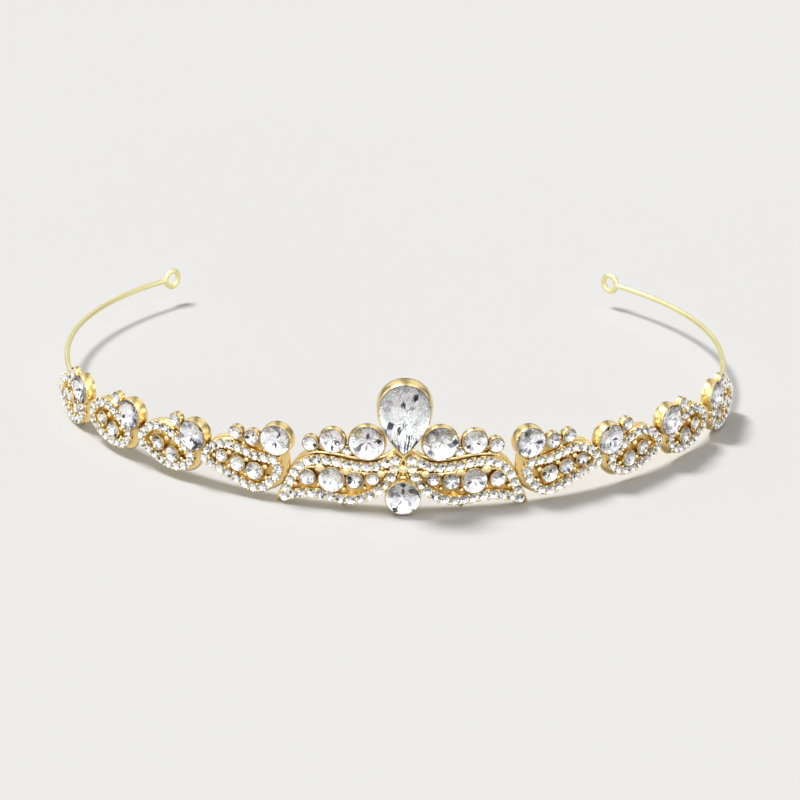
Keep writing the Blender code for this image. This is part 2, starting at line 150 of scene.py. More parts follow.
# Small stones and gold beads off the rows: arc, height and diameter
CENTRE_BEADS = [(0.0, 8.9, 2.3), (0.0, 6.95, 1.6)]
WING_EXTRAS = [(10.75, 12.35, 1.6)]
WING_BEADS = [(4.2, 7.9, 1.9), (7.4, 7.7, 0.9), (10.9, 8.1, 2.0), (16.0, 8.4, 2.2), (19.5, 7.4, 1.0),
              (7.3, 4.7, 0.8), (11.3, 4.2, 1.0), (16.2, 4.7, 0.9), (20.7, 4.4, 1.0), (13.7, 11.9, 0.9),
              (16.6, 11.7, 0.8), (1.7, 13.2, 0.8), (1.1, 6.6, 0.8)]
LEAF_EXTRAS = [
    [],
    [],
    [(68.9, 6.4, 2.4)],
    [(80.7, 4.5, 2.6), (84.4, 5.5, 2.3), (87.8, 5.0, 1.9)],
]
LEAF_BEADS = [
    [(26.9, 7.0, 1.2), (30.8, 7.9, 1.1), (34.5, 8.7, 1.2), (31.0, 4.7, 0.9), (34.6, 5.8, 0.9),
     (26.7, 4.7, 0.9), (37.9, 7.4, 1.0), (27.0, 10.5, 0.8), (31.4, 11.3, 0.8)],
    [(45.9, 6.6, 1.0), (49.4, 8.1, 1.3), (53.6, 6.9, 1.1), (50.2, 4.8, 0.9), (45.7, 4.6, 0.9),
     (45.6, 9.6, 0.8)],
    [(62.8, 6.1, 1.0), (66.8, 7.8, 1.2), (70.9, 6.1, 1.0), (67.4, 4.6, 0.9), (62.9, 4.1, 0.8),
     (62.2, 9.2, 0.8)],
    [(80.1, 6.8, 0.8), (82.6, 7.3, 1.1), (86.2, 7.3, 1.0), (82.6, 3.2, 0.9), (86.2, 3.4, 0.9)],
]


def mm(*values):
    return Vector(values) * MM


# Camera

def set_up_camera():
    distance = 0.650
    azimuth = math.radians(-1.67)
    elevation = math.radians(21.65)
    roll = math.radians(1.17)
    target = mm(0.8, 1.7, 0.1)
    back = Vector((
        math.sin(azimuth) * math.cos(elevation),
        -math.cos(azimuth) * math.cos(elevation),
        math.sin(elevation),
    ))
    right = Vector((math.cos(azimuth), math.sin(azimuth), 0.0))
    upward = back.cross(right)
    turned_right = right * math.cos(roll) + upward * math.sin(roll)
    turned_up = upward * math.cos(roll) - right * math.sin(roll)
    data = bpy.data.cameras.new("studio_camera")
    data.angle = math.radians(14.93)
    data.clip_start = 0.01
    camera = bpy.data.objects.new("studio_camera", data)
    turn = Matrix((turned_right, turned_up, back)).transposed().to_4x4()
    camera.matrix_world = Matrix.Translation(target + back * distance) @ turn
    bpy.context.scene.collection.objects.link(camera)
    bpy.context.scene.camera = camera


# Shader groups

def new_group(name, inputs, outputs):
    """A node group with named sockets, its input node and its output node."""
    group = bpy.data.node_groups.new(name, "ShaderNodeTree")
    for label, kind, value in inputs:
        socket = group.interface.new_socket(label, in_out="INPUT", socket_type=kind)
        socket.default_value = value
    for label, kind in outputs:
        group.interface.new_socket(label, in_out="OUTPUT", socket_type=kind)
    return group, group.nodes.new("NodeGroupInput"), group.nodes.new("NodeGroupOutput")


def mixed_colour(tree, factor, first, second):
    """A node that mixes two colours, each given as a socket or as a value."""
    node = tree.nodes.new("ShaderNodeMix")
    node.data_type = "RGBA"
    for socket, value in ((node.inputs["Factor"], factor), (node.inputs[6], first), (node.inputs[7], second)):
        if isinstance(value, bpy.types.NodeSocket):
            tree.links.new(value, socket)
        else:
            socket.default_value = value
    return node.outputs[2]


def multiplied(tree, first, second):
    """The product of two colours or values."""
    node = tree.nodes.new("ShaderNodeMix")
    node.data_type = "RGBA"
    node.blend_type = "MULTIPLY"
    node.inputs["Factor"].default_value = 1.0
    tree.links.new(first, node.inputs[6])
    tree.links.new(second, node.inputs[7])
    return node.outputs[2]


def spread(tree, value, low, high, out_low=0.0, out_high=1.0):
    """Maps a value's range onto another, clamped."""
    node = tree.nodes.new("ShaderNodeMapRange")
    node.inputs["From Min"].default_value = low
    node.inputs["From Max"].default_value = high
    node.inputs["To Min"].default_value = out_low
    node.inputs["To Max"].default_value = out_high
    tree.links.new(value, node.inputs["Value"])
    return node.outputs["Result"]


def noise(tree, scale, detail=3.0):
    node = tree.nodes.new("ShaderNodeTexNoise")
    node.inputs["Scale"].default_value = scale
    node.inputs["Detail"].default_value = detail
    source = tree.nodes.new("ShaderNodeTexCoord").outputs["Object"]
    tree.links.new(source, node.inputs["Vector"])
    return node.outputs["Fac"]


def make_plating_group():
    """Gold plate on a casting, with painted highlight on its sharp edges and painted shade in its hollows."""
    group, source, result = new_group(
        "gold_plating",
        [("Plate", "NodeSocketColor", (0.9, 0.6, 0.2, 1.0)),
         ("Painted Shade", "NodeSocketColor", (0.5, 0.2, 0.03, 1.0)),
         ("Painted Highlight", "NodeSocketColor", (1.0, 0.9, 0.6, 1.0)),
         ("Base Roughness", "NodeSocketFloat", 0.2)],
        [("Color", "NodeSocketColor"), ("Roughness", "NodeSocketFloat"), ("Height", "NodeSocketFloat")],
    )
    # painted shade: where ambient occlusion finds a recess, the plate colour is mixed towards a darker colour
    occlusion = group.nodes.new("ShaderNodeAmbientOcclusion")
    occlusion.samples = 6
    occlusion.inputs["Distance"].default_value = 1.6 * MM
    painted_shade = spread(group, occlusion.outputs["AO"], 0.25, 0.85, 1.0, 0.0)
    # painted highlight: sharp convex edges, found by pointiness, are mixed towards a paler colour
    point = group.nodes.new("ShaderNodeNewGeometry").outputs["Pointiness"]
    edge = spread(group, point, 0.51, 0.58)
    cloud = spread(group, noise(group, 420.0), 0.35, 0.7)
    shaded_plate = mixed_colour(group, painted_shade, source.outputs["Plate"], source.outputs["Painted Shade"])
    lit = mixed_colour(group, edge, shaded_plate, source.outputs["Painted Highlight"])
    group.links.new(lit, result.inputs["Color"])
    add = group.nodes.new("ShaderNodeMath")
    add.operation = "MULTIPLY_ADD"
    group.links.new(cloud, add.inputs[0])
    add.inputs[1].default_value = 0.10
    group.links.new(source.outputs["Base Roughness"], add.inputs[2])
    group.links.new(add.outputs[0], result.inputs["Roughness"])
    group.links.new(noise(group, 2600.0, 4.0), result.inputs["Height"])
    return group


def new_material(name):
    material = bpy.data.materials.new(name)
    material.use_nodes = True
    return material, material.node_tree, material.node_tree.nodes["Principled BSDF"]


def gold_material(name, group, plate, painted_shade, edge, roughness, bump):
    material, tree, shader = new_material(name)
    plating = tree.nodes.new("ShaderNodeGroup")
    plating.node_tree = group
    # the second colour is painted shade for recesses, the third is painted highlight for sharp edges
    plating.inputs["Plate"].default_value = (*plate, 1.0)
    plating.inputs["Painted Shade"].default_value = (*painted_shade, 1.0)
    plating.inputs["Painted Highlight"].default_value = (*edge, 1.0)
    plating.inputs["Base Roughness"].default_value = roughness
    relief = tree.nodes.new("ShaderNodeBump")
    relief.inputs["Distance"].default_value = bump * MM
    relief.inputs["Strength"].default_value = 0.6
    shader.inputs["Metallic"].default_value = 1.0
    tree.links.new(plating.outputs["Color"], shader.inputs["Base Color"])
    tree.links.new(plating.outputs["Roughness"], shader.inputs["Roughness"])
    tree.links.new(plating.outputs["Height"], relief.inputs["Height"])
    tree.links.new(relief.outputs["Normal"], shader.inputs["Normal"])
    return material


def crystal_material():
    """Clear lead glass, for a stone's crown and girdle."""
    material, tree, shader = new_material("clear_crystal_crown")
    shader.inputs["Base Color"].default_value = (0.985, 0.99, 1.0, 1.0)
    shader.inputs["Transmission Weight"].default_value = 1.0
    shader.inputs["IOR"].default_value = 1.4
    haze = spread(tree, noise(tree, 900.0), 0.4, 0.8, 0.0, 0.03)
    tree.links.new(haze, shader.inputs["Roughness"])
    return material


def foil_material():
    """The mirror foil behind a stone, with painted reflection: every facet gets a random painted patch of
    light, dark or pale tint in its colour.
    """
    material, tree, shader = new_material("crystal_foil")
    facet = tree.nodes.new("ShaderNodeAttribute")
    facet.attribute_name = "facet_painted_reflection"
    ramp = tree.nodes.new("ShaderNodeValToRGB")
    ramp.color_ramp.interpolation = "CONSTANT"
    # painted reflection: dark, grey, lilac, pale green and white patches that the facets pick at random
    stops = [
        (0.0, (0.06, 0.065, 0.075)), (0.05, (0.32, 0.33, 0.36)), (0.12, (0.64, 0.64, 0.68)),
        (0.22, (0.88, 0.84, 0.94)), (0.30, (0.86, 0.94, 0.88)), (0.38, (0.96, 0.96, 0.97)),
        (0.48, (1.0, 1.0, 1.0)),
    ]
    elements = ramp.color_ramp.elements
    while len(elements) < len(stops):
        elements.new(0.5)
    for element, (place, colour) in zip(elements, stops):
        element.position = place
        element.color = (*colour, 1.0)
    tree.links.new(facet.outputs["Fac"], ramp.inputs["Fac"])
    tree.links.new(ramp.outputs["Color"], shader.inputs["Base Color"])
    shader.inputs["Metallic"].default_value = 1.0
    shader.inputs["Roughness"].default_value = 0.14
    return material


def floor_material():
    material, tree, shader = new_material("plain_floor")
    tone = spread(tree, noise(tree, 3.0), 0.3, 0.7)
    colour = mixed_colour(tree, tone, (0.808, 0.804, 0.796, 1.0), (0.82, 0.816, 0.806, 1.0))
    tree.links.new(colour, shader.inputs["Base Color"])
    shader.inputs["Roughness"].default_value = 0.9
    shader.inputs["Specular IOR Level"].default_value = 0.1
    return material


# Places on the band

def on_band(arc, height, depth):
    angle = arc / CASTING_RADIUS
    reach = CASTING_RADIUS + depth
    return mm(reach * math.sin(angle), BAND_CENTRE_Y - reach * math.cos(angle), height)


def band_frame(arc, height, depth):
    """Local X runs along the band, local Y is up and local Z points outwards."""
    angle = arc / CASTING_RADIUS
    along = Vector((math.cos(angle), math.sin(angle), 0.0))
    outward = Vector((math.sin(angle), -math.cos(angle), 0.0))
    turn = Matrix((along, Vector((0.0, 0.0, 1.0)), outward)).transposed().to_4x4()
    return Matrix.Translation(on_band(arc, height, depth)) @ turn


def place_of(node):
    """Arc, height and diameter of a round stone, from its CAD solid."""
    low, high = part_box(node)
    middle = (low + high) / 2.0 / MM
    arc = math.atan2(middle.x, BAND_CENTRE_Y - middle.y) * CASTING_RADIUS
    diameter = (high.z - low.z) / MM / math.cos(math.pi / CAD_STONE_SIDES)
    return arc, middle.z, diameter


def smooth_closed(points, steps):
    result = []
    count = len(points)
    for index in range(count):
        before, start, end, after = (Vector(points[(index + k - 1) % count]) for k in range(4))
        leave = start + (end - before) / 6.0
        arrive = end - (after - start) / 6.0
        result.extend(interpolate_bezier(start, leave, arrive, end, steps + 1)[:-1])
    return result


def smooth_open(points, steps):
    result = []
    last = len(points) - 1
    for index in range(last):
        before, start, end, after = (Vector(points[min(max(index + k - 1, 0), last)]) for k in range(4))
        leave = start + (end - before) / 6.0
        arrive = end - (after - start) / 6.0
        result.extend(interpolate_bezier(start, leave, arrive, end, steps + 1)[:-1])
    return result + [Vector(points[-1])]


def evenly_spaced(line, count):
    """Points at equal distances round a closed line, starting at its first point."""
    lengths = [(line[(k + 1) % len(line)] - point).length for k, point in enumerate(line)]
    step = sum(lengths) / count
    result = []
    travelled = 0.0
    for index, length in enumerate(lengths):
        following = line[(index + 1) % len(line)]
        while len(result) < count and len(result) * step <= travelled + length:
            share = (len(result) * step - travelled) / length
            result.append(line[index].lerp(following, share))
        travelled += length
    return result


def signed_area(line):
    pairs = zip(line, line[1:] + line[:1])
    return sum(a.x * b.y - b.x * a.y for a, b in pairs) / 2.0


def offset_line(line, distance):
    """A closed line moved outwards by a distance, or inwards by a negative one."""
    turn = 1.0 if signed_area(line) > 0 else -1.0
    result = []
    for index, point in enumerate(line):
        along = (line[(index + 1) % len(line)] - line[index - 1]).normalized()
        result.append(point + Vector((along.y, -along.x)) * turn * distance)
    return result


# Building shapes

def stamp(shape, template, place):
    """Adds a copy of a mesh to a shape, in a given place."""
    first = len(shape.verts)
    shape.from_mesh(template)
    shape.verts.ensure_lookup_table()
    bmesh.ops.transform(shape, matrix=place, verts=shape.verts[first:])


def finished_mesh(shape, name, smooth=True, sharp_angle=40.0):
    mesh = bpy.data.meshes.new(name)
    shape.to_mesh(mesh)
    shape.free()
    if smooth:
        mesh.shade_smooth()
        mesh.set_sharp_from_angle(angle=math.radians(sharp_angle))
    return mesh


def add_piece(name, mesh, materials, body="band"):
    piece = bpy.data.objects.new(name, mesh)
    bpy.context.scene.collection.objects.link(piece)
    for material in materials:
        mesh.materials.append(material)
    if body:
        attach(piece, body)
    return piece


def turned_template(name, profile, steps):
    """A closed ring turned about Z from a closed profile of radius and level, in millimetres."""
    shape = bmesh.new()
    rings = []
    for step in range(steps):
        turn = 2.0 * math.pi * step / steps
        rings.append([shape.verts.new(mm(radius * math.cos(turn), radius * math.sin(turn), level))
                      for radius, level in profile])
    for step in range(steps):
        near = rings[step]
        far = rings[(step + 1) % steps]
        for k in range(len(profile)):
            following = (k + 1) % len(profile)
            shape.faces.new((near[k], far[k], far[following], near[following]))
    bmesh.ops.recalc_face_normals(shape, faces=shape.faces)
    return finished_mesh(shape, name)


def cup_profile(inner, swell, back, front, floor):
    """A cup in section: a swelling outer wall that draws in to a thin rim, and a sunken seat."""
    rim = inner + 0.3
    return [
        (0.02, back), (inner, back), (inner + swell * 0.8, back + 0.16), (inner + swell, back + 0.5),
        (inner + swell, back + (front - back) * 0.45), (inner + swell * 0.9, back + (front - back) * 0.68),
        (rim + 0.03, front - 0.26), (rim - 0.02, front - 0.12), (rim - 0.1, front - 0.08),
        (rim - 0.2, front - 0.12), (inner, front - 0.2), (inner - 0.1, front - 0.5),
        (inner * 0.6, floor), (0.02, floor),
    ]


def bead_template(name, flatness):
    shape = bmesh.new()
    bmesh.ops.create_icosphere(shape, subdivisions=2, radius=MM)
    bmesh.ops.scale(shape, vec=(1.0, 1.0, flatness), verts=shape.verts)
    return finished_mesh(shape, name, sharp_angle=180.0)


# Crystals

def round_outline(turn):
    """A unit circle, from its lowest point."""
    return math.sin(turn), -math.cos(turn)


def pear_outline(turn):
    """A pear with its point down, a unit in half width."""
    width = 1.23 * math.sin(turn) * abs(math.sin(turn / 2.0)) ** 0.75
    return width, -1.42 * math.cos(turn)


def outline_ring(outline, centre, count, shift, scale, level):
    """An outline shrunk towards a height, as points."""
    points = []
    for k in range(count):
        x, y = outline(2.0 * math.pi * (k + shift) / count)
        points.append(Vector((x * scale, centre + (y - centre) * scale, level)))
    return points


def add_ring(shape, outline, centre, count, shift, scale, level, size):
    points = outline_ring(outline, centre, count, shift, scale, level)
    return [shape.verts.new(point * size) for point in points]


def brilliant_crown(shape, outline, centre, sides, size, girdle):
    """A flat table with star, bezel and girdle facets round it."""
    table = add_ring(shape, outline, centre, sides, 0.0, 0.55, 0.34, size)
    star = add_ring(shape, outline, centre, sides, 0.5, 0.77, 0.22, size)
    faces = [table]
    for k in range(sides):
        faces.append((table[k], star[k], table[(k + 1) % sides]))
        faces.append((table[k], star[k - 1], girdle[2 * k], star[k]))
        faces.append((star[k], girdle[2 * k], girdle[2 * k + 1]))
        faces.append((star[k], girdle[2 * k + 1], girdle[(2 * k + 2) % (2 * sides)]))
    return faces


def kite_rows(shape, outline, centre, sides, size, edge, steps, tip):
    """Rows of kites, each step a share of the outline and a level, that meet in one point."""
    first = edge[::2]
    rings = [first]
    for step, (scale, level) in enumerate(steps):
        rings.append(add_ring(shape, outline, centre, sides, (step + 1) / 2.0, scale, level, size))
    point = shape.verts.new(Vector((0.0, centre, tip)) * size)
    faces = []
    for k in range(sides):
        after = (k + 1) % sides
        faces.append((first[k], edge[2 * k + 1], rings[1][k]))
        faces.append((edge[2 * k + 1], first[after], rings[1][k]))
        for below, row, above in zip(rings, rings[1:], rings[2:]):
            faces.append((below[k], row[k], above[k - 1], row[k - 1]))
        faces.append((rings[-2][after], rings[-1][after], point, rings[-1][k]))
    return faces


def kite_dome(shape, outline, centre, sides, size, girdle):
    """A domed crown with no table."""
    steps = ((0.87, 0.15), (0.69, 0.25), (0.48, 0.32), (0.25, 0.36))
    return kite_rows(shape, outline, centre, sides, size, girdle, steps, 0.37)


def back_rows(count):
    """Where the rows of a stone's back lie: a share of the outline, and a level."""
    shares = [1.0 - k / (count + 0.6) for k in range(1, count + 1)]
    return [(share, -BACK_DEPTH * (1.0 - share ** 1.3) - 0.02) for share in shares]


def cut_stone(name, half_width, sides, rows, seed, outline=round_outline, centre=0.0, crown=brilliant_crown):
    """A cut stone: a clear crown over a foiled, many-faceted back."""
    chance = random.Random(seed)
    size = half_width * MM
    shape = bmesh.new()
    girdle = add_ring(shape, outline, centre, 2 * sides, 0.0, 1.0, 0.03, size)
    under = add_ring(shape, outline, centre, 2 * sides, 0.0, 1.0, -0.03, size)
    clear = crown(shape, outline, centre, sides, size, girdle)
    foil = kite_rows(shape, outline, centre, sides, size, under, back_rows(rows), -BACK_DEPTH)
    for k in range(2 * sides):
        after = (k + 1) % (2 * sides)
        clear.append((girdle[k], under[k], under[after], girdle[after]))
    for corners in clear:
        shape.faces.new(corners).material_index = 0
    for corners in foil:
        shape.faces.new(corners).material_index = 1
    bmesh.ops.recalc_face_normals(shape, faces=shape.faces)
    mesh = finished_mesh(shape, name, smooth=False)
    # a random value on every facet, which picks that facet's painted reflection on the foil
    painted_reflections = mesh.attributes.new("facet_painted_reflection", "FLOAT", "FACE")
    for item in painted_reflections.data:
        item.value = chance.random()
    return mesh


def stone_depth(diameter):
    """Depth of a stone's widest line; larger stones stand further forward."""
    return 1.86 + 0.09 * diameter


def add_stone(node, arc, height, depth, mesh, materials, turn=0.0):
    piece = bpy.data.objects.new(node + "_cut", mesh)
    bpy.context.scene.collection.objects.link(piece)
    for material in materials:
        mesh.materials.append(material)
    piece.matrix_world = band_frame(arc, height, depth) @ Matrix.Rotation(turn, 4, "Z")
    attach(piece, "band")
    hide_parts(node)


# Castings

def add_slab(shape, line, back, front):
    """A plate with rounded edges over a closed outline, bent round the band."""
    levels = [
        (-0.32, back), (-0.08, back + 0.1), (0.0, back + 0.34), (0.04, (back + front) / 2.0),
        (0.0, front - 0.2), (-0.08, front - 0.06), (-0.22, front),
    ]
    plate = bmesh.new()
    loops = []
    for inset, depth in levels:
        loops.append([plate.verts.new((point.x, point.y, depth)) for point in offset_line(line, inset)])
    for near, far in zip(loops, loops[1:]):
        for k in range(len(line)):
            after = (k + 1) % len(line)
            plate.faces.new((near[k], near[after], far[after], far[k]))
    caps = [plate.faces.new(loops[0]), plate.faces.new(loops[-1])]
    bmesh.ops.triangulate(plate, faces=caps)
    arcs = [vert.co.x for vert in plate.verts]
    for index in range(math.ceil(min(arcs)), math.floor(max(arcs)) + 1):
        everything = plate.verts[:] + plate.edges[:] + plate.faces[:]
        bmesh.ops.bisect_plane(plate, geom=everything, dist=0.0001, plane_co=(index, 0.0, 0.0),
                               plane_no=(1.0, 0.0, 0.0))
    add_bent(shape, plate)


def add_bent(shape, flat):
    """Bends a part laid out in arc, height and depth round the band, and adds it."""
    for vert in flat.verts:
        vert.co = on_band(*vert.co)
    bmesh.ops.recalc_face_normals(flat, faces=flat.faces)
    mesh = finished_mesh(flat, "bent")
    shape.from_mesh(mesh)
    bpy.data.meshes.remove(mesh)


def add_border(shape, line):
    """The raised border along a closed row: a swept bar with a soft outer flank."""
    reach = BORDER_REACH
    front = BORDER_FRONT
    section = [
        (reach - 0.3, 0.0), (reach - 0.06, 0.1), (reach + 0.02, 0.35), (reach + 0.05, 1.1),
        (reach, front - 0.3), (reach - 0.08, front - 0.1), (reach - 0.24, front),
        (-reach + 0.24, front), (-reach + 0.1, front - 0.1), (-reach + 0.04, front - 0.3),
        (-reach + 0.04, 0.5),
    ]
    bar = bmesh.new()
    loops = []
    for across, depth in section:
        loops.append([bar.verts.new((point.x, point.y, depth)) for point in offset_line(line, across)])
    for near, far in zip(loops, loops[1:] + loops[:1]):
        for k in range(len(line)):
            after = (k + 1) % len(line)
            bar.faces.new((near[k], near[after], far[after], far[k]))
    add_bent(shape, bar)


def add_gold_line(shape, points, depth, radius, swell, sides=8):
    """A bar along an open line, with ends that narrow: radius is half its width, swell half its height."""
    path = smooth_open(points, 5)
    wire = bmesh.new()
    rings = []
    for index, point in enumerate(path):
        along = (path[min(index + 1, len(path) - 1)] - path[max(index - 1, 0)]).normalized()
        across = Vector((-along.y, along.x))
        fade = math.sqrt(max(0.04, 1.0 - (2.0 * index / (len(path) - 1) - 1.0) ** 8))
        ring = []
        for k in range(sides):
            turn = 2.0 * math.pi * k / sides
            spot = point + across * radius * fade * math.cos(turn)
            ring.append(wire.verts.new((spot.x, spot.y, depth + swell * fade * math.sin(turn))))
        rings.append(ring)
    for near, far in zip(rings, rings[1:]):
        for k in range(sides):
            after = (k + 1) % sides
            wire.faces.new((near[k], near[after], far[after], far[k]))
    wire.faces.new(rings[0])
    wire.faces.new(rings[-1])
    add_bent(shape, wire)


def pave_places(row):
    """Evenly spaced stones round a closed row, and the bead places between neighbours."""
    line = smooth_closed(row, 8)
    length = sum((line[(k + 1) % len(line)] - point).length for k, point in enumerate(line))
    stones = evenly_spaced(line, round(length / PAVE_PITCH))
    beads = []
    for index, stone in enumerate(stones):
        following = stones[(index + 1) % len(stones)]
        along = (following - stone).normalized()
        across = Vector((-along.y, along.x)) * CLAW_SPREAD
        middle = stone.lerp(following, 0.5)
        beads += [middle + across, middle - across]
    return stones, beads


def add_cup(shape, arc, height, diameter):
    """The cup of one stone."""
    depth = stone_depth(diameter)
    inner = diameter / 2.0
    if diameter > LARGE_STONE:
        back = CUP_BACKS["wing"] if abs(arc) < WING_END else CUP_BACKS["leaf"]
        floor = max(back + 0.1, depth - 0.24 * diameter)
        profile = cup_profile(inner, 0.5, back, depth + CUP_RISE, floor)
        ring = turned_template("cup", profile, 56)
    else:
        floor = depth - 0.24 * diameter
        profile = cup_profile(inner, 0.38, CUP_BACKS["small"], depth + CUP_RISE, floor)
        ring = turned_template("cup", profile, 32)
    stamp(shape, ring, band_frame(arc, height, 0.0))
    bpy.data.meshes.remove(ring)


def casting_mesh(name, slabs, rows, cups, beads, lines, flanks, templates):
    """Plates, borders, cups, small stones' collars, beads and thin lines, for one casting."""
    shape = bmesh.new()
    for slab in slabs:
        add_slab(shape, slab, 0.01, FLOOR_FRONT)
    for row in rows:
        add_border(shape, smooth_closed(row, 6))
        stones, claws = pave_places(row)
        for spot in stones:
            stamp(shape, templates["collar"], band_frame(spot.x, spot.y, 0.0))
        for spot in claws:
            place = band_frame(spot.x, spot.y, BORDER_FRONT + CLAW_REACH)
            stamp(shape, templates["bead"], place @ Matrix.Scale(CLAW_RADIUS, 4))
    for cup in cups:
        add_cup(shape, *cup)
    for arc, height, diameter in beads:
        place = band_frame(arc, height, BORDER_FRONT + 0.1)
        stamp(shape, templates["bead"], place @ Matrix.Scale(diameter / 2.0, 4))
    for line in lines:
        add_gold_line(shape, line, BORDER_FRONT + 0.12, LINE_RADIUS, LINE_RADIUS)
    for line in flanks:
        add_gold_line(shape, line, FLANK_HEIGHT + 0.05, FLANK_REACH, FLANK_HEIGHT, sides=20)
    return finished_mesh(shape, name)


def add_pave(name, rows, extras, templates, materials, seed):
    """All the small stones of one casting, each turned its own way."""
    chance = random.Random(seed)
    shape = bmesh.new()
    for row in rows:
        stones, _ = pave_places(row)
        for spot in stones:
            place = band_frame(spot.x, spot.y, PAVE_DEPTH)
            turn = Matrix.Rotation(chance.uniform(0.0, math.pi), 4, "Z")
            stamp(shape, templates["pave_stone"], place @ turn)
    for arc, height, diameter in extras:
        place = band_frame(arc, height, stone_depth(diameter))
        stamp(shape, templates["pave_stone"], place @ Matrix.Scale(diameter / PAVE_DIAMETER, 4))
    mesh = finished_mesh(shape, name, smooth=False)
    # a random value on every facet, which picks that facet's painted reflection on the foil
    painted_reflections = mesh.attributes.get("facet_painted_reflection") or mesh.attributes.new("facet_painted_reflection", "FLOAT", "FACE")
    for item in painted_reflections.data:
        item.value = chance.random()
    piece = add_piece(name, mesh, materials)


def mirrored(points, side):
    return [(side * point[0], *point[1:]) for point in points]


def add_casting(name, slabs, rows, crystals, extras, beads, lines, flanks, templates, finishes, seed):
    """A casting with its small stones; the larger crystals are pieces of their own."""
    cups = [place_of(node) for node in crystals] + extras
    mesh = casting_mesh(name + "_gold", slabs, rows, cups, beads, lines, flanks, templates)
    piece = add_piece(name + "_gold", mesh, [finishes["gold"]])
    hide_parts(name)
    add_pave(name + "_pave", rows, extras, templates, finishes["stone"], seed)


def add_centre(nodes, templates, finishes):
    """The centre casting with both wings."""
    crystals = [node for node in nodes if node.startswith("wing_")]
    plate = WING_PLATE + mirrored(WING_PLATE, -1)[::-1]
    rows = [mirrored(WING_ROW, side) for side in SIDES.values()]
    extras = WING_EXTRAS + mirrored(WING_EXTRAS, -1)
    beads = WING_BEADS + mirrored(WING_BEADS, -1) + CENTRE_BEADS
    lines = [mirrored(line, side) for line in CENTRE_LINES + WING_LINES for side in SIDES.values()]
    add_casting("centre_casting", [smooth_closed(plate, 4)], rows, crystals, extras, beads, lines, [],
                templates, finishes, 100)


def add_leaves(nodes, templates, finishes):
    for side_name, side in SIDES.items():
        for index, line in enumerate(LEAF_ROWS):
            number = index + 1
            crystals = [node for node in nodes
                        if node.startswith(f"leaf_{number}_") and node.endswith(side_name)]
            row = mirrored(line, side)
            plate = mirrored(LEAF_PLATES[index], side)
            flank = [(arc, height + lift) for (arc, height), lift in zip(plate, FLANK_LIFTS)]
            add_casting(f"leaf_casting_{side_name}_{number}", [smooth_closed(plate, 4)], [row], crystals,
                        mirrored(LEAF_EXTRAS[index], side), mirrored(LEAF_BEADS[index], side), [],
                        [flank], templates, finishes, 100 + 10 * number + side)


# Pear and drop

PEAR_CENTRE = 0.18                          # the height a pear outline shrinks towards, in half widths
PEAR_GROWTH = 0.1                           # how much wider than its CAD solid, to either side
PEAR_DROP = 0.3                             # how much lower than its CAD solid
PEAR_DEPTH = 5.55                           # of the stone's widest line
DROP_DEPTH = 4.3


def add_setting(node, height, outline, centre, half_width, section, finishes):
    """A closed setting over an outline: section gives growth beyond the stone's edge, and depth."""
    count = 96
    shape = bmesh.new()
    rings = []
    for grow, depth in section:
        scale = 1.0 + grow / half_width
        rings.append([shape.verts.new(Vector((point.x * half_width, point.y * half_width, depth)) * MM)
                      for point in outline_ring(outline, centre, count, 0.0, scale, 0.0)])
    for near, far in zip(rings, rings[1:]):
        for k in range(count):
            after = (k + 1) % count
            shape.faces.new((near[k], near[after], far[after], far[k]))
    shape.faces.new(rings[0])
    shape.faces.new(rings[-1])
    bmesh.ops.recalc_face_normals(shape, faces=shape.faces)
    name = node.replace("bezel", "setting")
    setting = add_piece(name, finished_mesh(shape, name), [finishes["gold"]], body=None)
    setting.matrix_world = band_frame(0.0, height, 0.0)
    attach(setting, "band")
    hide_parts(node)


def add_pear(finishes):
    low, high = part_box("pear_crystal")
    half_width = (high.x - low.x) / 2.0 / MM + PEAR_GROWTH
    height = (low.z + high.z) / 2.0 / MM - PEAR_DROP
    mesh = cut_stone("pear_cut", half_width, 18, 5, 11, pear_outline, PEAR_CENTRE, kite_dome)
    add_stone("pear_crystal", 0.0, height, PEAR_DEPTH, mesh, finishes["stone"])
    section = [
        (-0.3, 2.12), (0.0, 2.2), (0.3, 2.45), (0.42, 3.0), (0.4, 4.1), (0.26, 5.0), (0.1, 5.4), (0.02, 5.52),
        (-0.08, 5.5), (-0.16, 5.38), (-0.3, 5.0), (-1.8, 2.75), (-2.6, 2.6),
    ]
    add_setting("pear_bezel", height, pear_outline, PEAR_CENTRE, half_width, section, finishes)


def add_drop(finishes):
    low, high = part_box("drop_crystal")
    height = (low.z + high.z) / 2.0 / MM
    half_width = (high.x - low.x) / 2.0 / MM + STONE_OVERLAP
    mesh = cut_stone("drop_cut", half_width, 12, 4, 8)
    add_stone("drop_crystal", 0.0, height, DROP_DEPTH, mesh, finishes["stone"])
    section = [
        (-0.4, 2.12), (-0.05, 2.2), (0.16, 2.45), (0.22, 3.0), (0.2, 3.7), (0.1, 4.05), (0.04, 4.2),
        (-0.06, 4.22), (-0.16, 4.14), (-0.3, 3.8), (-1.6, 2.7), (-2.4, 2.6),
    ]
    add_setting("drop_bezel", height, round_outline, 0.0, half_width, section, finishes)


# Wires

def wire_point(angle):
    depth = WIRE_PLAN_RADIUS if math.cos(angle) > 0 else REAR_DEPTH
    return mm(WIRE_PLAN_RADIUS * math.sin(angle), BAND_CENTRE_Y - depth * math.cos(angle), WIRE_HEIGHT)


